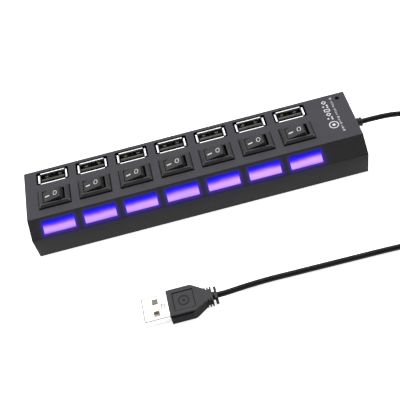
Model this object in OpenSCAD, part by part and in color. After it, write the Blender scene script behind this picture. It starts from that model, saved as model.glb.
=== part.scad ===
// Seven-port USB hub with a rocker switch and a lit window for every port.
// +Z up, +X along the case, -Y is the sloping front. Origin: middle of the case's underside. Millimetres.

/* [Case] */
// Length of the case, left to right
body_l = 160; // [156:1:170]
// Depth of the case, front to back
body_w = 37.8; // [37:0.1:39]
// Height of the case
body_h = 18.2; // [18:0.1:19]
// How far back the sloping front face runs
slope_run = 7.8; // [7.4:0.1:8.2]
// Height of the sloping face's lower edge
slope_z = 12.3; // [11.8:0.1:12.6]
// Wall thickness
wall = 1.8; // [1.6:0.1:2]

/* [Ports and switches] */
// Distance from one port to the next
pitch = 19.6; // [19.4:0.1:20]
// X of the middle port
row_x = -7.3; // [-8:0.1:-7]
// Y of the row of ports
port_y = 12.95; // [12.8:0.05:13.2]
// Y of the row of switches
switch_y = -0.95; // [-1.2:0.05:-0.8]
// How far the port shells sit below the top face
port_recess = 0.5; // [0.3:0.1:0.8]
// Height of the switch bezels above the top face
bezel_h = 1.5; // [1.2:0.1:1.7]
// Tilt of a rocker in each of its two positions
rocker_tilt = 14; // [10:1:14]

/* [Windows] */
// Width of a light window
window_w = 14.8; // [14.4:0.1:15.4]
// Height of a light window, measured up the slope
window_h = 6.2; // [6:0.1:6.8]

/* [Cord and plug] */
// Diameter of the cord
cord_d = 2.6; // [2.4:0.1:2.6]
// Length of the plug's metal shell outside its grip
plug_reach = 11.2; // [11:0.1:12]
// Width of the plug's grip
grip_w = 14.6; // [14:0.1:15.4]
// Thickness of the plug's grip
grip_t = 6.4; // [6:0.1:6.4]

/* [Hidden] */

$fn = 48;
eps = 0.02;
ports = 7;
half_l = body_l / 2;
half_w = body_w / 2;
slope_rise = body_h - slope_z;
slope_a = atan(slope_rise / slope_run);
gap = 0.1;

// Board and the floor of the case
cover_t = 1.8;
board_z = 3.4;
board_t = 1.6;
board_top = board_z + board_t;
pin_end = 2.6;

// Port sockets
port_w = 14.1;
port_d = 7.2;
lip_h = 0.8;
lip_t = 0.6;
lip_notch = 1.1;
shell_w = 12.9;
shell_d = 6.0;
sheet = 0.3;
port_top = body_h - port_recess;
socket_base = 1.2;
tongue_w = 11.1;
tongue_t = 1.75;
tongue_y = port_y - 1.0;
tongue_drop = 0.4;
contact_t = 0.3;
contact_y = tongue_y + tongue_t / 2 - 0.35;
contact_top = port_top - 3.2;

// Switches
bezel_w = 15;
bezel_d = 10.8;
bezel_edge = 0.5;
bezel_inset = 1.4;
well_w = 10.6;
well_d = 7.2;
housing_w = 13.4;
housing_d = 8.6;
housing_z = 7.2;
housing_floor = 1.6;
pivot_d = 1.5;
pivot_z = body_h - 1.6;
rocker_d = 6.4;
face_half = 4.2;
face_h = 4.1;
terminal_x = 4;

// Lights behind the windows: their leads run straight in from the slope, then down to the board
led_depth = 3.3;
led_h = 3.2;
led_bend = 1.8;
led_lead_x = 1.27;
led_reach = led_depth + led_h + led_bend;
led_foot = [-half_w + slope_run / 2 + led_reach * sin(slope_a), slope_z + slope_rise / 2 - led_reach * cos(slope_a)];

// Screws and their posts: a case post is [x, y, top of the post]
case_posts = [[-75.9, 13.4, body_h - 1], [-75.9, -12.8, 9.4], [69, 13.4, body_h - 1], [69, -12, body_h - 3]];
board_posts = [for (k = [1.5, 3.5, 4.5, 6.5]) [row_x + pitch * (k - 4), 5.4]];
post_d = 4.4;
pilot_d = 2.4;
screw_d = 2.2;

// Indicator hole in the top, and the cord's way out at the right end
indicator = [75.9, 15.1];
indicator_d = 2;
exit_y = 1.5;
exit_z = 12.5;
bush_d = 4.4;
bush_end = half_l + 3.6;

// The cord on the table: from the bush to the coil, and from the coil to the plug
cord_r = cord_d / 2;
coil_x = 113;
coil_y = -34;
coil_r = 15;
coil_lift = 0.45;
hub_route = [
    [bush_end, exit_y, exit_z], [89, 1.5, 12.5], [95, 1.5, 12.2], [101, 1.4, 11.4], [107, 0.8, 10],
    [112.5, -0.9, 8.2], [117.5, -3.7, 6.3], [121.8, -7.5, 4.6], [125.2, -12, 3.2], [127.6, -17.2, 2.3],
    [129, -22.7, 1.85], [129.3, -28.3, 1.75]
];
plug_y = -66.4;
plug_z = grip_t / 2;
grip_front = -25.1;
grip_back = -3.6;
plug_route = [
    [120.8, -47.4, 4.3], [117.9, -50.3, 4.2], [115, -53, 3.5], [112, -55.7, 2.4], [108.7, -58.3, 1.6],
    [104.9, -60.8, 1.35], [100.6, -62.9, 1.3], [95.8, -64.3, 1.3], [90.5, -65, 1.3], [84, -65.1, 1.3],
    [77, -64.9, 1.3], [69, -64.7, 1.3], [61, -64.6, 1.3], [53, -64.5, 1.3], [45, -64.4, 1.3],
    [37, -64.3, 1.3], [29, -64.2, 1.3], [21, -64.1, 1.3], [14.5, -64.3, 1.4], [8.8, -64.9, 1.9],
    [3.6, -65.8, 2.7], [grip_back + 3, plug_y, plug_z], [grip_back, plug_y, plug_z]
];

function port_x(i) = row_x + pitch * (i - (ports + 1) / 2);
function contact_x(i, k) = port_x(i) + (k - 1.5) * 2.4;

// An outline with its corners rounded: radii[i] rounds points[i], in steps of an arc.
function unit(v) = v / norm(v);
function corner(a, b, c, r, steps = 5) =
    let (u = unit(a - b), w = unit(c - b), turn = acos(u * w), reach = r / tan(turn / 2),
         middle = b + unit(u + w) * r / sin(turn / 2), from = b + u * reach - middle, to = b + w * reach - middle,
         side = cross([from.x, from.y, 0], [to.x, to.y, 0]).z > 0 ? 1 : -1)
    [for (k = [0:steps]) let (t = side * (180 - turn) * k / steps)
        middle + [from.x * cos(t) - from.y * sin(t), from.x * sin(t) + from.y * cos(t)]];
function rounded(points, radii) =
    let (n = len(points))
    [for (i = [0:n - 1])
        each radii[i] > 0 ? corner(points[(i + n - 1) % n], points[i], points[(i + 1) % n], radii[i]) : [points[i]]];
function rectangle(w, d) = [[-w / 2, -d / 2], [w / 2, -d / 2], [w / 2, d / 2], [-w / 2, d / 2]];
module plate(w, d, r, h) linear_extrude(h) polygon(rounded(rectangle(w, d), [r, r, r, r]));

// A prism along X of an outline given in Y and Z
module along_x(outline, length) rotate([90, 0, 90]) linear_extrude(length, center = true) polygon(outline);
// A prism along Y of an outline given in X and Z
module along_y(outline, length) rotate([90, 0, 0]) linear_extrude(length, center = true) polygon(outline);
// The frame of window i: its Z points straight out of the slope, its origin lies on the slope's surface
module on_slope(i) translate([port_x(i), -half_w + slope_run / 2, slope_z + slope_rise / 2])
    rotate([slope_a, 0, 0]) children();

// One tube swept along a route of points, with one ring of corners at every point
function tangent(route, i) =
    unit(route[min(i + 1, len(route) - 1)] - route[max(i - 1, 0)]);
function ring(route, i, r, sides) =
    let (t = tangent(route, i), side = unit(cross(t, [0, 0, 1])), lift = cross(side, t))
    [for (k = [0:sides - 1]) route[i] + r * (cos(360 * k / sides) * side + sin(360 * k / sides) * lift)];
module tube(route, r, sides = 8) {
    last = len(route) - 1;
    corners = [for (i = [0:last]) each ring(route, i, r, sides)];
    walls = [for (i = [0:last - 1], k = [0:sides - 1])
        [i * sides + k, (i + 1) * sides + k, (i + 1) * sides + (k + 1) % sides, i * sides + (k + 1) % sides]];
    ends = [[for (k = [0:sides - 1]) k], [for (k = [0:sides - 1]) last * sides + sides - 1 - k]];
    polyhedron(corners, concat(walls, ends), convexity = 6);
}

// ---- Case ----
function case_outline() = rounded(
    [[-half_w, 0], [-half_w, slope_z], [-half_w + slope_run, body_h], [half_w, body_h], [half_w, 0]],
    [0, 0.7, 0.6, 0.7, 0]);
function hollow_outline() =
    let (y = -half_w + wall, z = body_h - wall, back = wall / cos(slope_a))
    [[y, -1], [y, slope_z + wall * tan(slope_a) - back],
     [-half_w + (z - slope_z + back) / tan(slope_a), z], [half_w - wall, z], [half_w - wall, -1]];

module top_shell() color("dimgray") {
    window_side = window_w + 2 * gap;
    window_rise = window_h + 2 * gap;
    difference() {
        union() {
            difference() {
                along_x(case_outline(), body_l);
                along_x(hollow_outline(), body_l - 2 * wall);
            }
            intersection() {
                along_x(case_outline(), body_l);
                union() {
                    for (p = case_posts) translate([p.x, p.y, cover_t]) {
                        cylinder(d = post_d, h = p.z - cover_t);
                        if (p.x < 0) translate([-half_l + wall - p.x - 0.2, -0.6, 0]) cube([2, 1.2, p.z - cover_t]);
                    }
                    for (p = board_posts)
                        translate([p.x, p.y, board_top]) cylinder(d = post_d, h = body_h - 1 - board_top);
                }
            }
        }
        for (i = [1:ports]) {
            translate([port_x(i), port_y, body_h - 3]) plate(port_w + 1.8, port_d + 0.6, 0.9, 4);
            translate([port_x(i), switch_y, body_h]) cube([housing_w + 0.4, housing_d + 0.4, 5], center = true);
            on_slope(i) translate([0, 0, -3]) plate(window_side, window_rise, 0.4, 4);
        }
        for (p = case_posts) translate([p.x, p.y, cover_t - 1]) cylinder(d = pilot_d, h = 8.2);
        for (p = board_posts) translate([p.x, p.y, board_top - 1]) cylinder(d = pilot_d, h = 6);
        translate([indicator.x, indicator.y, body_h - 3]) cylinder(d = indicator_d, h = 4);
        translate([half_l - 3, exit_y, exit_z]) rotate([0, 90, 0]) cylinder(d = bush_d + 2 * gap, h = 4);
    }
}

module bottom_cover() color("dimgray") {
    rim = 0.15;
    difference() {
        plate(body_l - 2 * (wall + rim), body_w - 2 * (wall + rim), 0.5, cover_t);
        for (p = case_posts) translate([p.x, p.y, 0]) {
            translate([0, 0, -1]) cylinder(d = screw_d + 0.4, h = cover_t + 2);
            translate([0, 0, -eps]) cylinder(d1 = 4.6, d2 = screw_d + 0.4, h = 1.25);
        }
    }
}

module cover_screws() color("silver")
    for (p = case_posts) translate([p.x, p.y, 0]) difference() {
        union() {
            translate([0, 0, 0.05]) cylinder(d1 = 4.3, d2 = screw_d, h = 1.2);
            translate([0, 0, 1]) cylinder(d = screw_d, h = 6.6);
            translate([0, 0, 7.6]) cylinder(d1 = screw_d, d2 = 0.8, h = 0.9);
        }
        for (turn = [0, 90]) rotate(turn) cube([2.6, 0.5, 1.3], center = true);
    }

module pcb_screws() color("silver")
    for (p = board_posts) translate([p.x, p.y, board_z]) difference() {
        union() {
            translate([0, 0, -1.2]) cylinder(d = 4, h = 1.15);
            translate([0, 0, -0.6]) cylinder(d = screw_d, h = 6.4);
        }
        for (turn = [0, 90]) translate([0, 0, -1.2]) rotate(turn) cube([2.4, 0.5, 1.1], center = true);
    }

// ---- Board ----
module main_pcb() color("darkgreen") difference() {
    translate([0, 0, board_z]) plate(2 * (half_l - 2.8), 2 * (half_w - 2.5), 0.8, board_t);
    for (p = case_posts) translate([p.x, p.y, board_z - 1]) cylinder(d = post_d + 1, h = board_t + 2);
    for (p = board_posts) translate([p.x, p.y, board_z - 1]) cylinder(d = screw_d + 0.5, h = board_t + 2);
    for (i = [1:ports]) {
        for (k = [0:3]) translate([contact_x(i, k), contact_y + contact_t / 2, board_z - 1])
            cylinder(d = 1.2, h = board_t + 2);
        for (s = [-1, 1]) {
            translate([port_x(i) + s * (shell_w / 2 - sheet / 2), port_y, board_z + board_t / 2])
                cube([0.8, 2.8, board_t + 2], center = true);
            translate([port_x(i) + s * terminal_x, switch_y, board_z + board_t / 2])
                cube([1, 2.6, board_t + 2], center = true);
            translate([port_x(i) + s * led_lead_x, led_foot.x, board_z - 1]) cylinder(d = 0.9, h = board_t + 2);
        }
    }
}

// A flat chip with legs on all four sides
module chip(w, h, legs) {
    foot = 0.9;
    difference() {
        translate([0, 0, 0.15]) plate(w, w, 0.2, h);
        translate([-w / 2 + 1.1, w / 2 - 1.1, h]) cylinder(d = 0.9, h = 1);
    }
    for (side = [0:3], k = [1:legs]) rotate(90 * side)
        translate([(k - (legs + 1) / 2) * (w - 1) / (legs - 1) - 0.15, w / 2 - 0.02, 0]) {
            translate([0, 0, 0.45]) cube([0.3, 0.45, 0.15]);
            translate([0, 0.3, 0]) cube([0.3, 0.15, 0.6]);
            translate([0, 0.3, 0]) cube([0.3, foot - 0.3, 0.15]);
        }
}

module hub_chips() color("black")
    for (y = [-5.2, 5.2]) translate([68.9, y, board_top]) chip(7, 1.3, 8);

module crystal() color("silver") translate([61.4, 0, board_top]) {
    linear_extrude(0.4) polygon(rounded(rectangle(4.6, 11), [2.2, 2.2, 2.2, 2.2]));
    translate([0, 0, 0.3]) linear_extrude(3.2) polygon(rounded(rectangle(3.6, 10), [1.7, 1.7, 1.7, 1.7]));
}

module capacitors() color("darkslateblue")
    for (p = [[63.2, 13.4], [62, -10], [74.6, -12.6]]) translate([p.x, p.y, board_top]) difference() {
        union() {
            translate([0, 0, 0.3]) cylinder(d = 4, h = 6.4);
            cylinder(d = 4.4, h = 0.5);
        }
        translate([0, 0, 6.5]) for (turn = [0, 60, 120]) rotate(turn) cube([3, 0.2, 0.6], center = true);
    }

module resistors() color("black")
    for (i = [1:ports]) translate([port_x(i) + 5.4, -8.6, board_top]) {
        translate([-1, -0.62, 0.03]) cube([2, 1.24, 0.5]);
        for (s = [-1, 1]) translate([s * 0.85 - 0.2, -0.65, 0]) cube([0.4, 1.3, 0.56]);
    }

// ---- Lights ----
module status_led(i) {
    on_slope(i) translate([0, 0, -led_depth]) {
        translate([0, 0, -2.4]) cylinder(d = 3, h = 2.4);
        translate([0, 0, -led_h]) cylinder(d = 3.8, h = 0.85);
        for (s = [-1, 1]) translate([s * led_lead_x, 0, -led_h - led_bend]) cylinder(d = 0.5, h = led_bend + 0.1);
    }
    for (s = [-1, 1]) translate([port_x(i) + s * led_lead_x, led_foot.x, pin_end])
        cylinder(d = 0.5, h = led_foot.y + 0.1 - pin_end);
}

module status_leds() color("lightskyblue") for (i = [1:ports]) status_led(i);

module power_led() color("darkslategray") translate([indicator.x, indicator.y, 0]) {
    translate([0, 0, 12]) cylinder(d = 2.5, h = 0.8);
    translate([0, 0, 12]) cylinder(d = indicator_d - 2 * gap, h = 5.2);
    for (s = [-0.6, 0.6]) translate([s, 0, board_top]) cylinder(d = 0.4, h = 7.2);
}

module light_window(i) color("blue") on_slope(i) {
    translate([0, 0, -wall - 0.9]) plate(window_w + 1.6, window_h + 1.1, 0.5, 0.9 - eps);
    translate([0, 0, -wall - 0.1]) plate(window_w, window_h, 0.35, wall + 0.1);
}

// ---- Port sockets ----
module port_shell(i) color("silver") translate([port_x(i), port_y, 0]) difference() {
    union() {
        translate([0, 0, board_top]) plate(shell_w, shell_d, 0.6, port_top - lip_h - board_top + eps);
        translate([0, 0, port_top - lip_h]) plate(port_w, port_d, 0.8, lip_h);
        for (s = [-1, 1]) translate([s * (shell_w / 2 - sheet / 2), 0, (pin_end + board_top) / 2])
            cube([sheet, 2.2, board_top - pin_end + eps], center = true);
    }
    translate([0, 0, board_top - 1]) plate(shell_w - 2 * sheet, shell_d - 2 * sheet, 0.4, body_h);
    translate([0, 0, board_top - 4]) cube([shell_w - 2 * sheet, shell_d - 2 * sheet, 8.1], center = true);
    translate([0, 0, port_top - lip_h / 2])
        plate(port_w - 2 * lip_t, port_d - 2 * lip_t, 0.5, lip_h);
    // Cut at the corners, the flared rim is four separate tabs
    for (sx = [-1, 1], sy = [-1, 1]) translate([sx * port_w / 2, sy * port_d / 2, port_top])
        cube([2 * lip_notch, 2 * lip_notch, 2 * lip_h + 0.2], center = true);
    for (x = [-3.3, 3.3], s = [-1, 1]) translate([x, s * shell_d / 2, 11.5])
        cube([2.2, 3 * sheet, 3], center = true);
}

module port_insulator(i) color("whitesmoke") {
    floor_y = shell_d - 2 * sheet - 2 * gap;
    difference() {
        union() {
            translate([port_x(i), port_y, board_top])
                plate(shell_w - 2 * sheet - 2 * gap, floor_y, 0.3, socket_base);
            translate([port_x(i), tongue_y, board_top + socket_base - eps])
                plate(tongue_w, tongue_t, 0.3, port_top - tongue_drop - board_top - socket_base);
        }
        for (k = [0:3]) translate([contact_x(i, k) - 0.6, contact_y - 0.05, board_top - 1])
            cube([1.2, 1.2, contact_top + 1.2 - board_top]);
    }
}

// The four contacts lie in grooves on the tongue's back and go down through the board.
module port_contacts() color("gold")
    for (i = [1:ports], k = [0:3])
        translate([contact_x(i, k) - 0.45, contact_y, pin_end]) cube([0.9, contact_t, contact_top - pin_end]);

// ---- Rocker switches ----
// The bezel is cut by two trapezoid prisms, so its four sides slope up to the rim round the well.
module bezel() intersection() {
    along_y([[-bezel_w / 2, 0], [bezel_w / 2, 0], [bezel_w / 2, bezel_edge],
             [bezel_w / 2 - bezel_inset, bezel_h], [-bezel_w / 2 + bezel_inset, bezel_h],
             [-bezel_w / 2, bezel_edge]], bezel_d);
    along_x([[-bezel_d / 2, 0], [bezel_d / 2, 0], [bezel_d / 2, bezel_edge],
             [bezel_d / 2 - bezel_inset + 0.3, bezel_h], [-bezel_d / 2 + bezel_inset - 0.3, bezel_h],
             [-bezel_d / 2, bezel_edge]], bezel_w);
}

module switch_housing(i) color("black") translate([port_x(i), switch_y, 0]) difference() {
    union() {
        translate([0, 0, body_h]) bezel();
        translate([0, 0, (housing_z + body_h + eps) / 2])
            cube([housing_w, housing_d, body_h + eps - housing_z], center = true);
    }
    translate([-well_w / 2, -well_d / 2, housing_z + housing_floor]) cube([well_w, well_d, body_h]);
    translate([0, 0, pivot_z]) rotate([90, 0, 0]) cylinder(d = pivot_d + 2 * gap, h = housing_d + 2, center = true);
    for (s = [-1, 1]) translate([s * terminal_x, 0, housing_z])
        cube([0.7, 2.2, 2 * housing_floor + 1], center = true);
}

function rocker_outline() = rounded(
    [[-face_half, face_h], [face_half, face_h], [4.9, 1.4], [4.6, -0.6], [1.6, -2.6], [-1.6, -2.6],
     [-4.6, -0.6], [-4.9, 1.4]], [0.25, 0.25, 0.3, 0.3, 0.8, 0.8, 0.3, 0.3]);

// A rocker rests with its left end pressed, which is the position in which its port is on.
module rocker(i) color("dimgray") translate([port_x(i), switch_y, pivot_z]) rotate([0, -rocker_tilt, 0]) {
    along_y(rocker_outline(), rocker_d);
    rotate([90, 0, 0]) cylinder(d = pivot_d, h = housing_d - 0.4, center = true);
}

module switch_contacts() color("peru")
    for (i = [1:ports]) translate([port_x(i), switch_y, 0]) {
        for (s = [-1, 1]) {
            translate([s * terminal_x, 0, (pin_end + housing_z + housing_floor + 0.6) / 2])
                cube([0.5, 2, housing_z + housing_floor + 0.6 - pin_end], center = true);
            translate([s * (terminal_x - 0.6), 0, housing_z + housing_floor + 0.4]) cube([1.6, 2, 0.4], center = true);
        }
        translate([-terminal_x + 0.2, 0, housing_z + housing_floor + 0.55]) along_y(
            [[0, 0], [2.4, 1.9], [4.4, 2.6], [6, 2.1], [7.1, 1.2], [7.3, 1.4], [6.1, 2.4], [4.4, 2.9],
             [2.3, 2.2], [-0.2, 0.2]], 3.2);
    }

// ---- Cord ----
module cable_bush() color("black") translate([0, exit_y, exit_z]) rotate([0, 90, 0]) difference() {
    union() {
        translate([0, 0, half_l - wall - 1.5]) cylinder(d = 7, h = 1.4);
        translate([0, 0, half_l - wall - 0.2]) cylinder(d = bush_d, h = bush_end - half_l + wall + 0.2);
    }
    for (z = [1, 2.2]) translate([0, 0, half_l + z]) difference() {
        cylinder(d = bush_d + 1, h = 0.5);
        cylinder(d = bush_d - 0.7, h = 0.5);
    }
    translate([0, 0, half_l - 5]) cylinder(d = cord_d + 2 * eps, h = bush_end - half_l + 4.6);
}

module cable_wires() color("white") {
    bend = 1.4;
    stub = bush_end - 0.45 - 77;
    translate([77, exit_y, exit_z]) rotate([0, 90, 0]) cylinder(d = cord_d - eps, h = stub);
    for (k = [0:3]) translate([75.6, exit_y + (k - 1.5) * 0.62, exit_z]) {
        rotate([0, 90, 0]) cylinder(d = 0.6, h = 1.5);
        translate([0, 0, -bend]) rotate([90, 0, 0]) rotate([0, 0, 90]) rotate_extrude(angle = 90)
            translate([bend, 0]) circle(d = 0.6, $fn = 24);
        translate([-bend, 0, board_top - exit_z]) cylinder(d = 0.6, h = exit_z - board_top - bend);
    }
}

module cord_hub_run() color("black") tube(hub_route, cord_r);
module cord_plug_run() color("black") tube(plug_route, cord_r);

module cord_coil() color("black") translate([coil_x, coil_y, 0]) rotate_extrude(convexity = 4) polygon([
    [coil_r - cord_d, coil_lift], [coil_r + cord_d, coil_lift], [coil_r + cord_d, coil_lift + cord_d],
    [coil_r + cord_r, coil_lift + 1.9 * cord_d], [coil_r - cord_r, coil_lift + 1.9 * cord_d],
    [coil_r - cord_d, coil_lift + cord_d]]);

// The tie goes round the bundle of turns and ends in two short tails.
module cord_tie() color("black") translate([coil_x, coil_y, 0]) rotate(120) translate([coil_r, 0, 0]) {
    top = coil_lift + 1.9 * cord_d + 0.05;
    strap = 0.4;
    inside = 2 * cord_d + 0.3;
    difference() {
        translate([0, 0, (top + strap) / 2]) cube([inside + 2 * strap, 3, top + strap], center = true);
        translate([0, 0, (top + strap) / 2]) cube([inside, 4, top - strap + eps], center = true);
    }
    for (s = [-1, 1]) translate([s * 0.7, 0, top + strap - 0.1]) rotate([0, s * 25, 0])
        cylinder(d = 0.9, h = 4);
}

// ---- Plug ----
module grip() {
    wide_back = -15.2;
    neck = -9;
    neck_w = 6.8;
    intersection() {
        translate([0, plug_y, 0]) linear_extrude(grip_t) polygon(rounded(
            [[grip_front, -grip_w / 2], [wide_back, -grip_w / 2], [neck, -neck_w / 2], [neck + 3.3, -neck_w / 2],
             [neck + 3.3, neck_w / 2], [neck, neck_w / 2], [wide_back, grip_w / 2], [grip_front, grip_w / 2]],
            [1, 1.5, 1, 0.3, 0.3, 1, 1.5, 1]));
        translate([grip_front + 10, plug_y, plug_z])
            along_x(rounded(rectangle(grip_w, grip_t), [1.3, 1.3, 1.3, 1.3]), 24);
        translate([0, plug_y, 0]) along_y(rounded(
            [[grip_front, 0], [wide_back + 2, 0], [neck, 0.5], [neck + 3.4, 0.5], [neck + 3.4, grip_t - 0.5],
             [neck, grip_t - 0.5], [wide_back + 2, grip_t], [grip_front, grip_t]],
            [0.4, 0, 0, 0, 0, 0, 0, 0.4]), grip_w + 2);
    }
}

module plug_body() color("black") difference() {
    union() {
        grip();
        translate([grip_back - 3, plug_y, plug_z]) rotate([0, 90, 0]) cylinder(d = 3.6, h = 3);
        translate([grip_back - 0.6, plug_y, plug_z]) along_x(rounded(rectangle(6.8, 5.2), [1, 1, 1, 1]), 1.2);
    }
    translate([-21, plug_y, plug_z]) cube([8.4, 12.08, 4.58], center = true);
    for (s = [0, 1]) translate([-22.6, plug_y - 4.5, s * grip_t - 0.3]) cube([9, 9, 0.6]);
    // Slots that let the end of the grip bend
    for (x = [-7.9, -6.7], s = [-1, 1]) translate([x, plug_y + s * 3.4, plug_z]) cube([0.5, 2, 7], center = true);
}
module plug_shell() color("silver") translate([grip_front - plug_reach, plug_y, plug_z]) difference() {
    length = plug_reach + 8;
    translate([0, -6, -2.25]) cube([length, 12, 4.5]);
    translate([-1, -5.7, -1.95]) cube([length - 1, 11.4, 3.9]);
    for (y = [-3, 3]) translate([5.8, y, 0]) cube([2.2, 2.4, 6], center = true);
    translate([plug_reach - 2.2, 0, 2.6]) cube([1.3, 2.1, 1], center = true);
}

module plug_insulator() color("whitesmoke") translate([grip_front - plug_reach, plug_y, plug_z]) difference() {
    translate([0.4, -5.65, -1.9]) cube([plug_reach + 5.5, 11.3, 1.85]);
    for (k = [-1.5:1.5]) translate([1.2, k * 2.2 - 0.6, -0.3]) cube([plug_reach + 5, 1.2, 1]);
}

module plug_contacts() color("gold") translate([grip_front - plug_reach, plug_y, plug_z])
    for (k = [-1.5:1.5]) translate([1.3, k * 2.2 - 0.5, -0.28]) cube([plug_reach + 4.6, 1, 0.2]);

top_shell();
bottom_cover();
cover_screws();
pcb_screws();
main_pcb();
hub_chips();
crystal();
capacitors();
resistors();
status_leds();
power_led();
for (i = [1:ports]) {
    light_window(i);
    port_shell(i);
    port_insulator(i);
    switch_housing(i);
    rocker(i);
}
port_contacts();
switch_contacts();
cable_bush();
cable_wires();
cord_hub_run();
cord_coil();
cord_tie();
cord_plug_run();
plug_body();
plug_shell();
plug_insulator();
plug_contacts();
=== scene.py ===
"""Looks of a seven-port USB hub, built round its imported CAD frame.

Blender's lengths are in metres. Sizes in this file are in millimetres unless a name says otherwise, and points go
through mm().
"""
import math

import bmesh
import bpy
from mathutils import Matrix, Vector


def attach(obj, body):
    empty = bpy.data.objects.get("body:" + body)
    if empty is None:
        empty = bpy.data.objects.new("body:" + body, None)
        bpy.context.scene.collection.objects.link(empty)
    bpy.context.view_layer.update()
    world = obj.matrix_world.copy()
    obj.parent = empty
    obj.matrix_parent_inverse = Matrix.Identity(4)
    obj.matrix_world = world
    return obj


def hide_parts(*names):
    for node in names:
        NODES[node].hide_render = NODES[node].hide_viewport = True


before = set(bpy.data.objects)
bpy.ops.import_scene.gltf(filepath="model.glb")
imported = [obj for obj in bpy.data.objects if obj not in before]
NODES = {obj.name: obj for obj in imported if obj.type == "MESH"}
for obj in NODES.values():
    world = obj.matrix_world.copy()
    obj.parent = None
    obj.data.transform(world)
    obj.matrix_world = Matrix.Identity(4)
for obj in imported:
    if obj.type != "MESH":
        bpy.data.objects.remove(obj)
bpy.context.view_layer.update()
CASE = "case"
MM = 0.001
PORTS = range(1, 8)

# ---- Places and sizes that the CAD gives, in millimetres ----
PITCH = 19.6
MIDDLE_PORT_X = -7.3
FIRST_PORT_X = MIDDLE_PORT_X - 3 * PITCH
SOCKET_Y = 12.95
SOCKET_RIM_Z = 17.62
SWITCH_Y = -0.95
PIN_Z = 16.6
BEZEL = (15, 10.8)
TOP_Z = 18.2
HALF_DEPTH = 18.9
SLOPE_RUN = 7.8
SLOPE_RISE = 5.9
SLOPE_TOP_Y = SLOPE_RUN - HALF_DEPTH
SLOPE_FOOT_Z = TOP_Z - SLOPE_RISE
WINDOW_HALF = (7.4, 3.1)
PLUG_Y = -66.4
PANEL_AT = (-18.1, PLUG_Y, 6.1)
PANEL_HALF = 4.5


def mm(*values):
    """A point in millimetres as a vector in metres."""
    return Vector(values) * MM


def port_x(i):
    return FIRST_PORT_X + PITCH * (i - 1)


# ---- Camera ----
LENS = 69.84
CAMERA_AT = (-0.00145, -0.24757, 0.28656)
CAMERA_AXES = ((0.96764, -0.19592, -0.15903), (0.25233, 0.74451, 0.61809), (-0.0027, -0.63822, 0.76985))

camera = bpy.data.objects.new("camera", bpy.data.cameras.new("camera"))
camera.data.lens = LENS
camera.data.sensor_width = 36
camera.data.clip_start = 0.01
camera.matrix_world = Matrix.Translation(CAMERA_AT) @ Matrix(CAMERA_AXES).transposed().to_4x4()
bpy.context.scene.collection.objects.link(camera)
bpy.context.scene.camera = camera


# ---- Materials ----
class Tree:
    """A new material's node tree, with one call to add a node."""

    def __init__(self, name):
        self.material = bpy.data.materials.new(name)
        self.material.use_nodes = True
        self.nodes = self.material.node_tree.nodes
        self.nodes.clear()
        self.place = self.add("TexCoord").outputs["Object"]

    def add(self, kind, inputs=None, **settings):
        node = self.nodes.new("ShaderNode" + kind)
        for name, value in settings.items():
            setattr(node, name, value)
        for name, value in (inputs or {}).items():
            if isinstance(value, bpy.types.NodeSocket):
                self.material.node_tree.links.new(value, node.inputs[name])
            else:
                node.inputs[name].default_value = value
        return node

    def noise(self, size_mm, detail=2.0, stretch=(1, 1, 1)):
        """Noise whose features are about size_mm across, drawn out along an axis where stretch is below 1."""
        moved = self.add("VectorMath", {0: self.place, 1: stretch}, operation="MULTIPLY").outputs[0]
        return self.add("TexNoise", {"Vector": moved, "Scale": 1 / (size_mm * MM), "Detail": detail,
                                     "Roughness": 0.55}).outputs["Fac"]

    def spread(self, value, low, high, start=0.3, end=0.7):
        """value from start to end, mapped to low to high."""
        return self.add("MapRange", {"Value": value, "From Min": start, "From Max": end,
                                     "To Min": low, "To Max": high}).outputs["Result"]

    def between(self, value, first, second):
        """The colour between first and second that value, from 0.3 to 0.7, gives."""
        mix = self.add("Mix", {0: self.spread(value, 0, 1)}, data_type="RGBA")
        for socket, colour in ((mix.inputs[6], first), (mix.inputs[7], second)):
            if isinstance(colour, bpy.types.NodeSocket):
                self.material.node_tree.links.new(colour, socket)
            else:
                socket.default_value = (*colour, 1)
        return mix.outputs[2]

    def bump(self, height, depth_mm):
        return self.add("Bump", {"Height": height, "Distance": depth_mm * MM, "Strength": 1.0}).outputs["Normal"]

    def maths(self, operation, first, second=0.0):
        return self.add("Math", {0: first, 1: second}, operation=operation).outputs[0]

    def vector(self, operation, first, second):
        return self.add("VectorMath", {0: first, 1: second}, operation=operation).outputs[0]

    def along(self, axis):
        """A point's coordinate along an axis of the row frame, in millimetres."""
        split = self.add("SeparateXYZ", {"Vector": self.place})
        return self.maths("MULTIPLY", split.outputs[axis], 1 / MM)

    def flatness(self):
        """1 where the surface lies flat and 0 where it stands upright."""
        normal = self.add("NewGeometry").outputs["Normal"]
        return self.maths("ABSOLUTE", self.add("SeparateXYZ", {"Vector": normal}).outputs["Z"])

    def shaded(self, colour, shade):
        return self.add("VectorMath", {0: colour, "Scale": shade}, operation="SCALE").outputs[0]

    def ramp(self, value, stops):
        node = self.add("ValToRGB", {"Fac": value})
        elements = node.color_ramp.elements
        while len(elements) < len(stops):
            elements.new(0.5)
        for element, (position, colour) in zip(elements, stops):
            element.position = position
            element.color = (*colour, 1)
        return node.outputs["Color"]

    def finish(self, **values):
        shader = self.add("BsdfPrincipled", {name.replace("_", " "): v for name, v in values.items()})
        output = self.add("OutputMaterial")
        self.material.node_tree.links.new(shader.outputs[0], output.inputs["Surface"])
        return self.material


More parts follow.
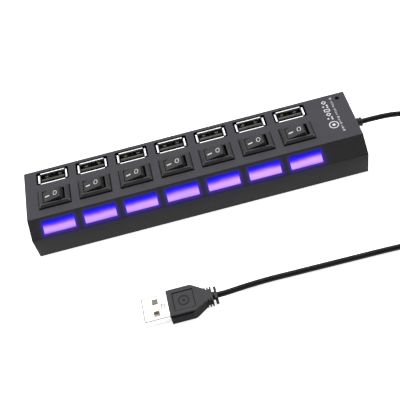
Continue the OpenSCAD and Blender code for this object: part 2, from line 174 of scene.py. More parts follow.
def plastic(name, dark, light, roughness, grain_mm=0.12, depth_mm=0.004, specular=0.5, patch_mm=14, **more):
    """Moulded plastic: slow shifts of shade, and a fine grain that also breaks up the gloss."""
    tree = Tree(name)
    grain = tree.noise(grain_mm, 3)
    patches = tree.noise(patch_mm, 3)
    colour = tree.between(patches, dark, light)
    return tree.finish(**{"Base_Color": colour, "Roughness": tree.spread(grain, roughness - 0.06, roughness + 0.06),
                          "Specular_IOR_Level": specular, "Normal": tree.bump(grain, depth_mm), **more})


def metal(name, dark, light, roughness, stretch=(1, 1, 0.04), line_mm=0.05, depth_mm=0.001):
    """Plated sheet: fine drawn lines one way, and slow shifts of tone."""
    tree = Tree(name)
    lines = tree.noise(line_mm, 2, stretch)
    patches = tree.noise(3, 2)
    return tree.finish(Base_Color=tree.between(patches, dark, light), Metallic=1.0,
                       Roughness=tree.spread(lines, roughness - 0.07, roughness + 0.09),
                       Normal=tree.bump(lines, depth_mm))


SLOPE_ANGLE = math.atan2(SLOPE_RISE, SLOPE_RUN)
SLOPE_UP = (0, math.cos(SLOPE_ANGLE), math.sin(SLOPE_ANGLE))
SLOPE_MIDDLE = mm(0, SLOPE_TOP_Y - SLOPE_RUN / 2, SLOPE_FOOT_Z + SLOPE_RISE / 2)
# The colours of a window run a little past its edges, this far up and down the slope from its middle
COLOURS_HALF = 3.3
# How fast the painted glow of the windows' light fades on the case, per millimetre
GLOW_FALL = 1.45


def up_slope(tree):
    """How far a point lies up the slope from the middle of the windows, in millimetres."""
    moved = tree.vector("SUBTRACT", tree.place, tuple(SLOPE_MIDDLE))
    along = tree.add("VectorMath", {0: moved, 1: SLOPE_UP}, operation="DOT_PRODUCT").outputs["Value"]
    return tree.maths("MULTIPLY", along, 1 / MM)


def window_plastic():
    """A tinted light guide: deep blue at the top, pale violet below where the light inside is nearest."""
    tree = Tree("window_plastic")
    height = up_slope(tree)
    cloud = tree.noise(5, 2, (0.4, 1, 1))
    wavy = tree.maths("ADD", height, tree.spread(cloud, -0.35, 0.35))
    colour = tree.ramp(tree.spread(wavy, 0, 1, -COLOURS_HALF, COLOURS_HALF), [
        (0.0, (0.40, 0.20, 0.80)), (0.09, (0.66, 0.36, 0.95)), (0.25, (0.74, 0.42, 0.98)), (0.40, (0.70, 0.37, 0.98)),
        (0.50, (0.45, 0.19, 0.98)), (0.60, (0.16, 0.06, 0.97)), (0.71, (0.030, 0.013, 0.95)),
        (0.82, (0.010, 0.006, 0.85)), (0.92, (0.010, 0.007, 0.50)), (1.0, (0.012, 0.009, 0.24))])
    grain = tree.noise(0.2, 2)
    # The light leans to lilac in some windows and to pink in others
    tint = tree.between(tree.noise(22, 1), (0.84, 0.87, 1.0), (1.08, 1.06, 1.0))
    return tree.finish(Base_Color=(0.004, 0.003, 0.02, 1), Roughness=0.35, Specular_IOR_Level=0.12,
                       Emission_Color=tree.vector("MULTIPLY", colour, tint), Emission_Strength=1.0,
                       Normal=tree.bump(grain, 0.003))


def off_rectangle(tree, centre, half_w, half_h):
    """How far a point lies outside a rectangle seen from above, or inside it below zero, in millimetres."""
    moved = tree.vector("SUBTRACT", tree.place, tuple(mm(*centre)))
    scaled = tree.add("VectorMath", {0: moved, "Scale": 1 / MM}, operation="SCALE").outputs[0]
    positive = tree.add("VectorMath", {0: scaled}, operation="ABSOLUTE").outputs[0]
    split = tree.add("SeparateXYZ", {"Vector": tree.vector("SUBTRACT", positive, (half_w, half_h, 0))})
    return tree.maths("MAXIMUM", split.outputs["X"], split.outputs["Y"])


def off_nearest_port(tree):
    """How far along the case a point lies from the middle of the nearest port, in millimetres."""
    across = tree.maths("SUBTRACT", tree.along("X"), FIRST_PORT_X)
    number = tree.maths("ROUND", tree.maths("DIVIDE", across, PITCH))
    number = tree.maths("MINIMUM", tree.maths("MAXIMUM", number, 0.0), len(PORTS) - 1)
    return tree.maths("ABSOLUTE", tree.maths("SUBTRACT", across, tree.maths("MULTIPLY", number, PITCH)))


def window_glow(tree, off_port):
    """A painted glow of the windows' light on the case round them, fading with the distance from the nearest window's
    edge.
    """
    height = up_slope(tree)
    beside = tree.maths("MAXIMUM", tree.maths("SUBTRACT", off_port, WINDOW_HALF[0]), 0.0)
    above = tree.maths("MAXIMUM", tree.maths("SUBTRACT", tree.maths("ABSOLUTE", height), WINDOW_HALF[1]), 0.0)
    reach = tree.maths("SQRT", tree.maths("ADD", tree.maths("MULTIPLY", beside, beside),
                                          tree.maths("MULTIPLY", above, above)))
    glow = tree.maths("POWER", math.e, tree.maths("MULTIPLY", reach, -GLOW_FALL))
    # The painted glow spills less from a window's blue upper part than from its bright lower part
    return tree.maths("MULTIPLY", glow, tree.spread(height, 1, 0.28, 0.5, COLOURS_HALF))


def case_plastic():
    """The case's dark grey plastic, with a painted glow of the windows' light round each window, painted shadow round
    the switches' bezels, and painted shade on its back edge and upright front.
    """
    tree = Tree("case_plastic")
    grain = tree.noise(0.11, 3)
    patches = tree.noise(16, 3)
    off_port = off_nearest_port(tree)
    y, z = tree.along("Y"), tree.along("Z")
    # 1 on the slope and the upright front, 0 on the top face
    in_front = tree.spread(y, 1, 0, SLOPE_TOP_Y - 0.8, SLOPE_TOP_Y + 0.1)
    # 0 on the upright front, 1 behind it
    past_front = tree.spread(y, 0, 1, -HALF_DEPTH + 0.05, -HALF_DEPTH + 0.2)
    # The rounded back edge is painted darker where it turns away from the lights, and a painted shadow runs round
    # each switch's bezel
    back_edge_shade = tree.spread(y, 1, 0.25, HALF_DEPTH - 0.35, HALF_DEPTH - 0.15)
    off_switch = tree.maths("ABSOLUTE", tree.maths("SUBTRACT", y, SWITCH_Y))
    off_bezel = tree.maths("MAXIMUM", tree.maths("SUBTRACT", off_port, BEZEL[0] / 2),
                           tree.maths("SUBTRACT", off_switch, BEZEL[1] / 2))
    bezel_shadow = tree.spread(off_bezel, 0.06, 1, 0.2, 0.55)
    shade = tree.maths("MULTIPLY", back_edge_shade, tree.maths("MAXIMUM", bezel_shadow, in_front))
    # The upright front is painted darker as painted shade, most of all near its top, which the bright table lights
    # more
    near_top = SLOPE_FOOT_Z - 0.3
    front_shade = tree.maths("MAXIMUM", past_front, tree.spread(z, 0.80, 0.60, 0, near_top))
    shade = tree.maths("MULTIPLY", shade, front_shade)
    # Painted shade in the reflection too: the shade so far, dimmed further near the front's top
    front_reflection_shade = tree.maths("MAXIMUM", past_front, tree.spread(z, 0.80, 0.42, 0, near_top))
    gloss = tree.maths("MULTIPLY", shade, front_reflection_shade)
    # The top face is mottled and leans to violet, and in front only the mottle's lighter patches stay
    mottle = tree.spread(tree.noise(0.9, 2), 0.84, 1.16)
    shade = tree.maths("MULTIPLY", shade, tree.maths("MAXIMUM", mottle, in_front))
    colour = tree.between(patches, (0.0202, 0.0189, 0.0262), (0.0250, 0.0233, 0.0312))
    colour = tree.vector("MULTIPLY", colour, tree.between(in_front, (1, 1, 1), (0.97, 1.0, 0.76)))
    # The painted glow of the windows' light stays off the top face
    strength = tree.maths("MULTIPLY", window_glow(tree, off_port), tree.maths("MULTIPLY", in_front, 0.6))
    return tree.finish(
        Base_Color=tree.shaded(colour, shade), Roughness=tree.spread(grain, 0.36, 0.46),
        Specular_IOR_Level=tree.maths("MULTIPLY", gloss, 0.3), Emission_Color=(0.085, 0.02, 1.0, 1),
        Emission_Strength=strength, Normal=tree.bump(grain, 0.004))


def cord_rubber():
    """Soft black jacket with a fine grain."""
    tree = Tree("cord_rubber")
    fine = tree.noise(0.15, 3)
    patches = tree.noise(6, 2)
    return tree.finish(Base_Color=tree.between(patches, (0.004, 0.004, 0.0045), (0.008, 0.008, 0.0085)),
                       Roughness=tree.spread(fine, 0.36, 0.5), Specular_IOR_Level=0.15,
                       Normal=tree.bump(fine, 0.006))


def switch_plastic():
    """The switch housings' black plastic, painted darker at the bezel's foot where it meets the case: painted shadow.
    """
    tree = Tree("switch_plastic")
    grain = tree.noise(0.09, 3)
    colour = tree.between(tree.noise(10, 3), (0.0178, 0.0166, 0.0180), (0.0218, 0.0205, 0.0221))
    # Painted shadow: darker along the bezel's foot, in colour and reflection
    base_shadow = tree.spread(tree.along("Z"), 0.1, 1, TOP_Z + 0.2, TOP_Z + 0.78)
    # Painted light: the bezel's front slope is painted lighter
    front_slope_light = tree.spread(tree.along("Y"), 1.5, 1, SWITCH_Y - 4.0, SWITCH_Y - 3.6)
    shade = tree.maths("MULTIPLY", base_shadow, front_slope_light)
    return tree.finish(
        Base_Color=tree.shaded(colour, shade), Roughness=tree.spread(grain, 0.36, 0.48),
        Specular_IOR_Level=tree.maths("MULTIPLY", shade, 0.25), Normal=tree.bump(grain, 0.002))


def grip_plastic():
    """The plug's grip: low-sheen flats with fine grain, and edges and walls painted darker as painted shade."""
    tree = Tree("grip_plastic")
    grain = tree.noise(0.13, 3)
    colour = tree.between(tree.noise(7, 3), (0.0180, 0.0175, 0.0208), (0.0240, 0.0233, 0.0276))
    # Painted shade: walls and rounded edges darker than the flats
    flat = tree.spread(tree.flatness(), 0.22, 1, 0.75, 0.97)
    # A narrow painted shadow line follows the edge of the sunken panel
    off_edge = tree.maths("ABSOLUTE", off_rectangle(tree, PANEL_AT, PANEL_HALF, PANEL_HALF))
    shade = tree.maths("MULTIPLY", flat, tree.spread(off_edge, 0.35, 1, 0.1, 0.3))
    return tree.finish(
        Base_Color=tree.shaded(colour, shade), Roughness=tree.spread(grain, 0.42, 0.54),
        Specular_IOR_Level=tree.maths("MULTIPLY", shade, 0.3), Normal=tree.bump(grain, 0.006))


def socket_nickel():
    """Drawn sheet: the rim's flat tabs shine, and the walls below them are painted darker as painted shade."""
    tree = Tree("socket_nickel")
    lines = tree.noise(0.05, 2, (1, 1, 0.04))
    colour = tree.between(tree.noise(3, 2), (0.90, 0.90, 0.91), (0.98, 0.98, 0.97))
    # Painted shade: everything below the rim's flat tabs is darkened
    shade = tree.spread(tree.along("Z"), 0.30, 1, SOCKET_RIM_Z - 0.16, SOCKET_RIM_Z)
    return tree.finish(Base_Color=tree.shaded(colour, shade), Metallic=1.0,
                       Roughness=tree.spread(lines, 0.18, 0.34), Normal=tree.bump(lines, 0.001))


def tongue_plastic():
    """The sockets' tongues: painted shade turns the end face black at its front, fading out towards its back."""
    tree = Tree("tongue_plastic")
    grain = tree.noise(0.1, 2)
    colour = tree.between(tree.noise(5, 2), (0.105, 0.103, 0.096), (0.150, 0.147, 0.137))
    # Painted shade: darker towards the front of the end face
    shade = tree.spread(tree.along("Y"), 0.03, 1, SOCKET_Y - 1.7, SOCKET_Y - 0.3)
    return tree.finish(Base_Color=tree.shaded(colour, shade), Roughness=tree.spread(grain, 0.32, 0.44),
                       Specular_IOR_Level=0.04, Normal=tree.bump(grain, 0.002))


def plug_nickel():
    """Bright drawn sheet, with painted shade along its bent edges and round its two holes and the stamped mark near
    the grip.
    """
    tree = Tree("plug_nickel")
    lines = tree.noise(0.05, 2, (0.04, 1, 1))
    colour = tree.between(tree.noise(3, 2), (0.60, 0.597, 0.588), (0.68, 0.677, 0.665))
    hole_x, stamp_x, middle_x = -30.5, -27.3, -26.7
    holes = [off_rectangle(tree, (hole_x, PLUG_Y + side, 0), 1.1, 1.2) for side in (-3, 3)]
    stamp = tree.maths("ABSOLUTE", off_rectangle(tree, (stamp_x, PLUG_Y, 0), 0.65, 1.05))
    off_mark = tree.maths("MINIMUM", tree.maths("MINIMUM", *holes), stamp)
    # Painted shade round the holes and the stamped mark
    marks = tree.spread(off_mark, 0.12, 1, 0.1, 0.35)
    # Painted shade darkens the flats towards the bent edges, and the side walls are painted a little lighter
    wall = tree.spread(tree.flatness(), 1.08, 0, 0.1, 0.35)
    inside = tree.maths("MULTIPLY", off_rectangle(tree, (middle_x, PLUG_Y, 0), 9.6, 6.0), -1.0)
    edges = tree.maths("MAXIMUM", tree.spread(inside, 0.18, 1, 0.3, 0.75), wall)
    return tree.finish(Base_Color=tree.shaded(colour, tree.maths("MULTIPLY", marks, edges)), Metallic=1.0,
                       Roughness=tree.spread(lines, 0.22, 0.38), Normal=tree.bump(lines, 0.001))


MATERIALS = {
    "case": case_plastic(),
    "cover": plastic("cover_plastic", (0.017, 0.017, 0.018), (0.022, 0.022, 0.023), 0.5, 0.15, 0.006),
    "switch": switch_plastic(),
    "rocker": plastic("rocker_plastic", (0.0155, 0.0149, 0.0157), (0.0205, 0.0197, 0.0206), 0.42, 0.08, 0.003, 0.3),
    "window": window_plastic(),
    "nickel": socket_nickel(),
    "plug_nickel": plug_nickel(),
    "zinc": metal("zinc_plate", (0.50, 0.50, 0.52), (0.64, 0.64, 0.66), 0.32, (1, 1, 1), 0.2),
    "gold": metal("gold_plate", (0.62, 0.42, 0.14), (0.80, 0.58, 0.24), 0.28),
    "dull_gold": metal("dull_gold_plate", (0.42, 0.34, 0.22), (0.58, 0.48, 0.32), 0.4),
    "copper": metal("spring_bronze", (0.50, 0.30, 0.16), (0.62, 0.40, 0.22), 0.34),
    "tongue": tongue_plastic(),
    "leaf": metal("spring_leaf", (0.72, 0.70, 0.66), (0.88, 0.86, 0.82), 0.42),
    # The insulator's faint glow is painted light, which keeps it pale inside the plug's shell
    "ivory": plastic("ivory_plastic", (0.74, 0.71, 0.65), (0.84, 0.81, 0.75), 0.4, 0.1, 0.002,
                     Emission_Color=(0.9, 0.82, 0.72, 1), Emission_Strength=0.22),
    "board": plastic("solder_mask", (0.008, 0.085, 0.030), (0.015, 0.13, 0.045), 0.28, 0.5, 0.004, patch_mm=2),
    "epoxy": plastic("chip_epoxy", (0.012, 0.012, 0.012), (0.022, 0.022, 0.022), 0.6, 0.06, 0.004, patch_mm=1),
    "sleeve": plastic("capacitor_sleeve", (0.012, 0.018, 0.06), (0.020, 0.030, 0.09), 0.22, 0.3, 0.002),
    "can": metal("crystal_can", (0.62, 0.62, 0.64), (0.74, 0.74, 0.76), 0.22, (1, 0.05, 1)),
    "clear": plastic("led_lens", (0.55, 0.62, 0.90), (0.70, 0.76, 0.98), 0.12, 0.4, 0.001,
                     Emission_Color=(0.35, 0.25, 1.0, 1), Emission_Strength=0.6),
    "dark_lens": plastic("dark_lens", (0.010, 0.010, 0.012), (0.016, 0.016, 0.018), 0.25, 0.3, 0.001),
    "wire": plastic("wire_insulation", (0.42, 0.42, 0.40), (0.55, 0.54, 0.52), 0.35, 0.3, 0.003, patch_mm=1),
    "cord": cord_rubber(),
    "bush": plastic("bush_rubber", (0.020, 0.019, 0.020), (0.027, 0.025, 0.026), 0.5, 0.12, 0.005, 0.3),
    "grip": grip_plastic(),
    "grip_mark": plastic("grip_mark", (0.009, 0.009, 0.010), (0.013, 0.013, 0.014), 0.5, 0.12, 0.004, 0.2),
    "faded_ink": plastic("faded_ink", (0.27, 0.26, 0.28), (0.42, 0.41, 0.43), 0.5, 0.15, 0.003, patch_mm=0.5),
    "ink": plastic("white_ink", (0.62, 0.62, 0.64), (0.74, 0.74, 0.76), 0.5, 0.15, 0.003, patch_mm=0.6),
    "tie": plastic("tie_coating", (0.012, 0.012, 0.013), (0.022, 0.022, 0.023), 0.3, 0.2, 0.004, patch_mm=2),
}

LOOKS = {"top_shell": "case", "bottom_cover": "cover", "cover_screws": "zinc", "pcb_screws": "zinc",
         "main_pcb": "board", "hub_chips": "epoxy", "crystal": "can", "capacitors": "sleeve",
         "resistors": "epoxy", "status_leds": "clear", "power_led": "dark_lens", "light_window": "window",
         "port_shell": "nickel", "port_insulator": "tongue", "port_contacts": "gold",
         "switch_housing": "switch", "rocker": "rocker", "switch_contacts": "copper", "cable_bush": "bush",
         "cable_wires": "wire", "plug_body": "grip", "plug_shell": "plug_nickel",
         "plug_insulator": "ivory", "plug_contacts": "dull_gold", "cord_hub_run": "cord", "cord_coil": "cord",
         "cord_plug_run": "cord", "cord_tie": "tie"}

# Width of the rounded edges of each kind of CAD node, in millimetres
EDGES = {"top_shell": 0.1, "bottom_cover": 0.12, "light_window": 0.12, "port_shell": 0.08, "port_insulator": 0.1,
         "switch_housing": 0.13, "rocker": 0.16, "cable_bush": 0.15, "plug_body": 0.45, "plug_shell": 0.12,
         "main_pcb": 0.05, "cover_screws": 0.05, "pcb_screws": 0.05}


def kind_of(node):
    head, _, tail = node.rpartition("_")
    return head if tail.isdigit() else node


for node, piece in NODES.items():
    kind = kind_of(node)
    piece.data.materials.clear()
    piece.data.materials.append(MATERIALS[LOOKS[kind]])
    width = EDGES.get(kind)
    if width:
        weld = piece.modifiers.new("weld", "WELD")
        weld.merge_threshold = 1e-6
        flat = piece.modifiers.new("flat faces", "DECIMATE")
        flat.decimate_type = "DISSOLVE"
        flat.angle_limit = math.radians(0.5)
        edge = piece.modifiers.new("rounded edges", "BEVEL")
        edge.width = width * MM
        edge.segments = 2
        edge.limit_method = "ANGLE"
        edge.angle_limit = math.radians(28)
        edge.harden_normals = False
        edge.use_clamp_overlap = True


# ---- Pieces ----
def place(piece, material, body=CASE, slot=None):
    if piece.name not in bpy.context.scene.collection.objects:
        bpy.context.scene.collection.objects.link(piece)
    piece.data.materials.clear()
    piece.data.materials.append(MATERIALS[material])
    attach(piece, body)
    return piece


def mesh_piece(name, build, material, body=CASE, slot=None, smooth=True):
    """A new piece whose mesh build(bm) makes in the row frame."""
    bm = bmesh.new()
    build(bm)
    bmesh.ops.recalc_face_normals(bm, faces=bm.faces)
    mesh = bpy.data.meshes.new(name)
    bm.to_mesh(mesh)
    bm.free()
    for face in mesh.polygons:
        face.use_smooth = smooth
    piece = bpy.data.objects.new(name, mesh)
    return place(piece, material, body, slot)


def close_rings(bm, pairs):
    """Faces between each pair of rings of vertices."""
    for a, b in pairs:
        for k in range(len(a)):
            j = (k + 1) % len(a)
            bm.faces.new((a[k], a[j], b[j], b[k]))


def prism(bm, outline, low, high, to_world):
    """A plate of outline from low to high. to_world places each point."""
    lower, upper = ([bm.verts.new(to_world(x, y, level)) for x, y in outline] for level in (low, high))
    close_rings(bm, [(lower, upper)])
    bm.faces.new(upper)
    bm.faces.new(list(reversed(lower)))


CORNER_STEPS = 4


def rounded_box(w, h, r):
    """The outline of a w by h rectangle with its corners rounded by r."""
    corners = [(w / 2 - r, h / 2 - r, 0), (-w / 2 + r, h / 2 - r, 90), (-w / 2 + r, -h / 2 + r, 180),
               (w / 2 - r, -h / 2 + r, 270)]
    return [(x + r * math.cos(math.radians(start + 90 * k / CORNER_STEPS)),
             y + r * math.sin(math.radians(start + 90 * k / CORNER_STEPS)))
            for x, y, start in corners for k in range(CORNER_STEPS + 1)]


# ---- Cord ----
CORD_D = 2.6
HUB_ROUTE = [(83.6, 1.5, 12.5), (89, 1.5, 12.5), (95, 1.5, 12.2), (101, 1.4, 11.4), (107, 0.8, 10),
             (112.5, -0.9, 8.2), (117.5, -3.7, 6.3), (121.8, -7.5, 4.6), (125.2, -12, 3.2),
             (127.6, -17.2, 2.3), (129, -22.7, 1.85), (129.3, -28.3, 1.75)]
PLUG_ROUTE = [(120.8, -47.4, 4.3), (117.9, -50.3, 4.2), (115, -53, 3.5), (112, -55.7, 2.4), (108.7, -58.3, 1.6),
              (104.9, -60.8, 1.35), (100.6, -62.9, 1.3), (95.8, -64.3, 1.3), (90.5, -65, 1.3), (84, -65.1, 1.3),
              (77, -64.9, 1.3), (69, -64.7, 1.3), (61, -64.6, 1.3), (53, -64.5, 1.3), (45, -64.4, 1.3),
              (37, -64.3, 1.3), (29, -64.2, 1.3), (21, -64.1, 1.3), (14.5, -64.3, 1.4), (8.8, -64.9, 1.9),
              (3.6, -65.8, 2.7), (-0.6, -66.4, 3.2), (-3.6, -66.4, 3.2)]
COIL_AT = (113, -34)
COIL_R = 15
TURN_STEPS = 24
# Angle travelled, radius and height along the coil, between which the cord winds evenly
COIL_STAGES = [(0, 16.3, 1.75), (330, 16.3, 1.75), (400, 13.7, 1.75), (730, 13.7, 1.75), (810, 15.0, 4.05),
               (1125, 15.0, 4.05)]


def coil_points():
    """Points round the coil, clockwise seen from above, easing from each stage to the next."""
    points = []
    total = COIL_STAGES[-1][0]
    count = round(total / 360 * TURN_STEPS)
    for k in range(1, count):
        angle = total * k / count
        for (a0, r0, z0), (a1, r1, z1) in zip(COIL_STAGES, COIL_STAGES[1:]):
            if a0 <= angle <= a1:
                t = (angle - a0) / (a1 - a0)
                t = t * t * (3 - 2 * t)
                r, z = r0 + (r1 - r0) * t, z0 + (z1 - z0) * t
                break
        turn = math.radians(-angle)
        points.append((COIL_AT[0] + r * math.cos(turn), COIL_AT[1] + r * math.sin(turn), z))
    return points


def smooth_curve(name, points, radius, material, body=CASE, slot=None, resolution=4, bevel=6):
    data = bpy.data.curves.new(name, "CURVE")
    data.dimensions = "3D"
    data.bevel_depth = radius * MM
    data.bevel_resolution = bevel
    data.use_fill_caps = True
    data.resolution_u = resolution
    spline = data.splines.new("BEZIER")
    spline.bezier_points.add(len(points) - 1)
    for handle, point in zip(spline.bezier_points, points):
        handle.co = mm(*point)
        handle.handle_left_type = handle.handle_right_type = "AUTO"
    return place(bpy.data.objects.new(name, data), material, body, slot)


cord_points = HUB_ROUTE + coil_points() + PLUG_ROUTE
cord = smooth_curve("cord", cord_points, CORD_D / 2, "cord", slot="cord_jacket")
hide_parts("cord_hub_run", "cord_coil", "cord_plug_run")

# ---- Tie round the coil ----
TIE_ANGLE = math.radians(120)
TIE_OUT = Vector((math.cos(TIE_ANGLE), math.sin(TIE_ANGLE), 0))
TIE_ALONG = Vector((-TIE_OUT.y, TIE_OUT.x, 0))
TIE_AT = Vector((*COIL_AT, 0)) + TIE_OUT * COIL_R
# The strap's inner outline across the bundle, its thickness and half its width
TIE_OUTLINE = [(-2.9, 0.95), (-2.62, 0.42), (-2.0, 0.28), (2.0, 0.28), (2.62, 0.42), (2.9, 0.95), (2.9, 2.3),
               (2.62, 3.1), (1.75, 4.6), (1.2, 5.25), (0.6, 5.5), (-0.6, 5.5), (-1.2, 5.25), (-1.75, 4.6),
               (-2.62, 3.1), (-2.9, 2.3)]
TIE_MIDDLE = Vector((0, 2.9))
TIE_THICK = 0.35
TIE_HALF = 1.3
# The strap's edges are thinner than its middle by this much
TIE_DIP = 0.12
TIE_EDGE = 0.2


def tie_loop(bm):
    """A flat strap round the bundle of turns, closed on top."""
    def corner(across, along, height):
        return bm.verts.new((TIE_AT + TIE_OUT * across + TIE_ALONG * along + Vector((0, 0, height))) * MM)

    rings = []
    for along, dip in ((-TIE_HALF, TIE_DIP), (TIE_EDGE - TIE_HALF, 0), (TIE_HALF - TIE_EDGE, 0), (TIE_HALF, TIE_DIP)):
        inner, outer = [], []
        for p in TIE_OUTLINE:
            q = Vector(p)
            far = q + (q - TIE_MIDDLE).normalized() * (TIE_THICK - dip)
            inner.append(corner(q.x, along, q.y))
            outer.append(corner(far.x, along, max(far.y, 0.02)))
        rings.append((inner, outer))
    for (inner, outer), (next_inner, next_outer) in zip(rings, rings[1:]):
        close_rings(bm, [(inner, next_inner), (next_outer, outer)])
    close_rings(bm, [(outer, inner) for inner, outer in (rings[0], rings[-1])])


tie = mesh_piece("tie_strap", tie_loop, "tie", slot="tie_black")
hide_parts("cord_tie")


def tie_tail(name, side):
    """One of the two wires that are twisted round each other above the strap and then part."""
    steps, radius, foot, rise, twist, part_after = 16, 0.38, 5.7, 2.6, 2.2 * math.pi, 0.7
    points = []
    for k in range(steps + 1):
        t = k / steps
        turn = side * math.pi / 2 + t * twist
        reach = 0.42 + 3.0 * max(0, t - part_after)
        lean = 2.4 * t
        p = TIE_AT + TIE_OUT * (reach * math.cos(turn) + lean) + TIE_ALONG * (reach * math.sin(turn))
        points.append((p.x, p.y, foot + rise * t))
    return smooth_curve(name, points, radius, "tie", slot="tie_black", resolution=3, bevel=3)


tails = [tie_tail("tie_tail_1", 1), tie_tail("tie_tail_2", -1)]


# ---- Switch marks ----
TILT = math.radians(14)
FACE_HEIGHT = 4.1
# Half the thickness of the printed marks, which lie half in the face
INK = 0.03
# How far the dash and the ring lie from the rocker's middle
MARK_OFF = 2.05
RING_RADII = (1.0, 1.35)
RING_LINE = 0.27
RING_STEPS = 32


def on_rocker(i):
    """Takes a point on rocker i's face, as it rests, to the row frame."""
    def to_world(u, v, w):
        w += FACE_HEIGHT
        return mm(port_x(i) + u * math.cos(TILT) - w * math.sin(TILT), SWITCH_Y + v,
                  PIN_Z + u * math.sin(TILT) + w * math.cos(TILT))
    return to_world


def tube_of(bm, loops):
    """A closed ring whose section has the given loops as its corners."""
    close_rings(bm, zip(loops, loops[1:] + loops[:1]))


def dash_mark(bm, to_world):
    prism(bm, [(u - MARK_OFF, v - 0.2) for u, v in rounded_box(2.3, 0.6, 0.15)], -INK, INK, to_world)


def ring_mark(bm, to_world):
    def oval(inset, level):
        turns = [2 * math.pi * k / RING_STEPS for k in range(RING_STEPS)]
        return [bm.verts.new(to_world(MARK_OFF + (RING_RADII[0] - inset) * math.cos(turn),
                                      (RING_RADII[1] - inset) * math.sin(turn), level)) for turn in turns]

    tube_of(bm, [oval(*row) for row in ((0, -INK), (0, INK), (RING_LINE, INK), (RING_LINE, -INK))])


for i in PORTS:
    face = on_rocker(i)
    for name, mark in ((f"mark_on_{i}", dash_mark), (f"mark_off_{i}", ring_mark)):
        mesh_piece(name, lambda bm: mark(bm, face), "ink", f"rocker_{i}", "insulator_white", False)


# ---- Print on the case: plain generic marks ----
def on_top(u, v, w):
    return mm(u, v, TOP_Z + w)


def outline_mark(bm, centre, w, h, r, line, turn=0.0):
    """A thin printed frame, turned by some degrees."""
    cos, sin = math.cos(math.radians(turn)), math.sin(math.radians(turn))
    tube_of(bm, [[bm.verts.new(on_top(centre[0] + x * cos - y * sin, centre[1] + x * sin + y * cos, level))
                  for x, y in rounded_box(w - 2 * shrink, h - 2 * shrink, r - shrink)]
                 for shrink, level in ((0, -INK), (0, INK), (line, INK), (line, -INK))])


def bar(bm, x, y, w, h, r):
    prism(bm, [(x + u, y + v) for u, v in rounded_box(w, h, r)], -INK, INK, on_top)


def large_marks(bm):
    """A column of plain shapes (turned squares, dots and frames), and a larger ring with a dot at its near end."""
    x, far_y, step, line = 68.9, 14.2, 2.75, 0.42
    for k, shape in enumerate(("square", "dots", "frame", "square", "dots")):
        y = far_y - step * k
        if shape == "square":
            outline_mark(bm, (x, y), 1.9, 1.9, 0.45, line, 45)
        elif shape == "frame":
            outline_mark(bm, (x, y), 2.9, 1.9, 0.45, line)
        else:
            for u, v in ((-0.95, 0), (0.95, 0.6), (0.95, -0.6)):
                bar(bm, x + u, y + v, 0.9, 0.9, 0.43)
    ring_x, ring_y = 69.3, -1.3
    outline_mark(bm, (ring_x, ring_y), 4.6, 4.6, 2.2, 0.45)
    bar(bm, ring_x, ring_y, 1.5, 1.5, 0.7)


def small_marks(bm):
    """A column of short dashes of uneven lengths."""
    x, y = 72.7, 16.4
    for k in range(16):
        length = (1.1, 0.5, 0.9, 0.6, 1.3)[k % 5]
        width = (1.1, 0.7, 0.9)[k % 3]
        bar(bm, x - (1.1 - width) / 2, y - length / 2, width, length, 0.15)
        y -= length + (0.45 if k % 4 else 0.95)


mesh_piece("case_print", large_marks, "ink", slot="insulator_white", smooth=False)
mesh_piece("case_print_small", small_marks, "faded_ink", slot="insulator_white", smooth=False)


# ---- Raised mark in the panel of the plug's grip ----
def grip_mark(bm):
    """A raised ring with a dot in it."""
    foot, crest, steps = -0.05, 0.16, 48

    def on_panel(u, v, w):
        return mm(*PANEL_AT) + mm(u, v, w)

    def circle(radius, level):
        return [bm.verts.new(on_panel(radius * math.cos(2 * math.pi * k / steps),
                                      radius * math.sin(2 * math.pi * k / steps), level)) for k in range(steps)]

    tube_of(bm, [circle(*row) for row in ((2.6, foot), (2.5, crest), (1.95, crest), (1.85, foot))])
    prism(bm, rounded_box(1.5, 1.5, 0.74), foot, crest, on_panel)


emblem = mesh_piece("grip_mark", grip_mark, "grip_mark", slot="case_plastic", smooth=False)


# ---- Contact springs inside the sockets ----
SPRING_X = 3.3
SPRING_TOP_Z = 16.2
SPRING_DROP = 6.0
SPRING_BOW = 0.6
SPRING_STEPS = 8
# Half a spring's width at its top, and how much narrower that is at its foot
SPRING_HALF = 0.85
SPRING_TAPER = 0.25
SHEET_HALF = 0.08
WALL_OFF = 2.82


def springs(bm):
    """Two leaves on each long wall of every socket, pressed in from the wall and bowed towards the plug."""
    for i in PORTS:
        for x in (-SPRING_X, SPRING_X):
            for side in (-1, 1):
                rows = []
                for k in range(SPRING_STEPS + 1):
                    t = k / SPRING_STEPS
                    bow = SPRING_BOW * math.sin(math.pi * t ** 0.7) ** 1.1
                    half = SPRING_HALF - SPRING_TAPER * t
                    y = SOCKET_Y + side * (WALL_OFF - bow)
                    rows.append([bm.verts.new(mm(port_x(i) + x + dx, y + dy, SPRING_TOP_Z - SPRING_DROP * t))
                                 for dx, dy in ((-half, -SHEET_HALF), (half, -SHEET_HALF),
                                                (half, SHEET_HALF), (-half, SHEET_HALF))])
                close_rings(bm, zip(rows, rows[1:]))
                bm.faces.new(rows[0])
                bm.faces.new(rows[-1])


mesh_piece("socket_springs", springs, "leaf", slot="socket_metal")


# ---- Stage ----
def floor_material():
    tree = Tree("floor")
    return tree.finish(Base_Color=tree.between(tree.noise(60, 2), (0.90, 0.90, 0.90), (0.92, 0.92, 0.92)),
                       Roughness=0.7, Specular_IOR_Level=0.2, Emission_Color=(1, 1, 1, 1), Emission_Strength=0.85)


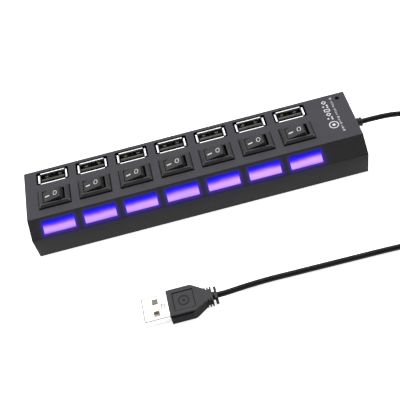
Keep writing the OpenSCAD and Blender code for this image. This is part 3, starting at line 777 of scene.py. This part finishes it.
def build_floor():
    half, depth = 3.0, -0.00005
    mesh = bpy.data.meshes.new("floor")
    mesh.from_pydata([(-half, -half, depth), (half, -half, depth), (half, half, depth), (-half, half, depth)], [],
                     [(0, 1, 2, 3)])
    floor = bpy.data.objects.new("floor", mesh)
    bpy.context.scene.collection.objects.link(floor)
    mesh.materials.append(floor_material())


build_floor()


def area_light(name, at, target, width, height, watts):
    data = bpy.data.lights.new(name, "AREA")
    data.shape = "RECTANGLE"
    data.size, data.size_y = width, height
    data.energy = watts
    lamp = bpy.data.objects.new(name, data)
    lamp.location = at
    lamp.rotation_euler = (Vector(target) - Vector(at)).to_track_quat("-Z", "Y").to_euler()
    bpy.context.scene.collection.objects.link(lamp)


# Brightness of the studio's walls behind the camera, near the table and behind the object
FRONT_WALL = 0.1
LOW_WALL = 0.6
BACK_WALL = 1.5


def studio_world():
    """White studio walls: bright behind the object, and darker above and behind the camera."""
    world = bpy.data.worlds.new("studio")
    bpy.context.scene.world = world
    world.use_nodes = True
    nodes, links = world.node_tree.nodes, world.node_tree.links
    place = nodes.new("ShaderNodeTexCoord")
    split = nodes.new("ShaderNodeSeparateXYZ")
    links.new(place.outputs["Generated"], split.inputs[0])

    def fade(axis, start, end, low, high):
        node = nodes.new("ShaderNodeMapRange")
        node.interpolation_type = "SMOOTHSTEP"
        for name, value in (("From Min", start), ("From Max", end), ("To Min", low), ("To Max", high)):
            node.inputs[name].default_value = value
        links.new(split.outputs[axis], node.inputs["Value"])
        return node.outputs[0]

    far = fade("Y", -0.35, 0.5, FRONT_WALL, BACK_WALL)
    near_table = fade("Z", 0.2, 0.6, LOW_WALL, FRONT_WALL)
    brighter = nodes.new("ShaderNodeMath")
    brighter.operation = "MAXIMUM"
    links.new(far, brighter.inputs[0])
    links.new(near_table, brighter.inputs[1])
    links.new(brighter.outputs[0], nodes["Background"].inputs["Strength"])
    nodes["Background"].inputs["Color"].default_value = (0.97, 0.98, 1.0, 1)


studio_world()
area_light("overhead softbox", (0, 0.24, 0.86), (0, 0, 0), 0.9, 0.6, 5)
bpy.context.scene.view_settings.view_transform = "Standard"
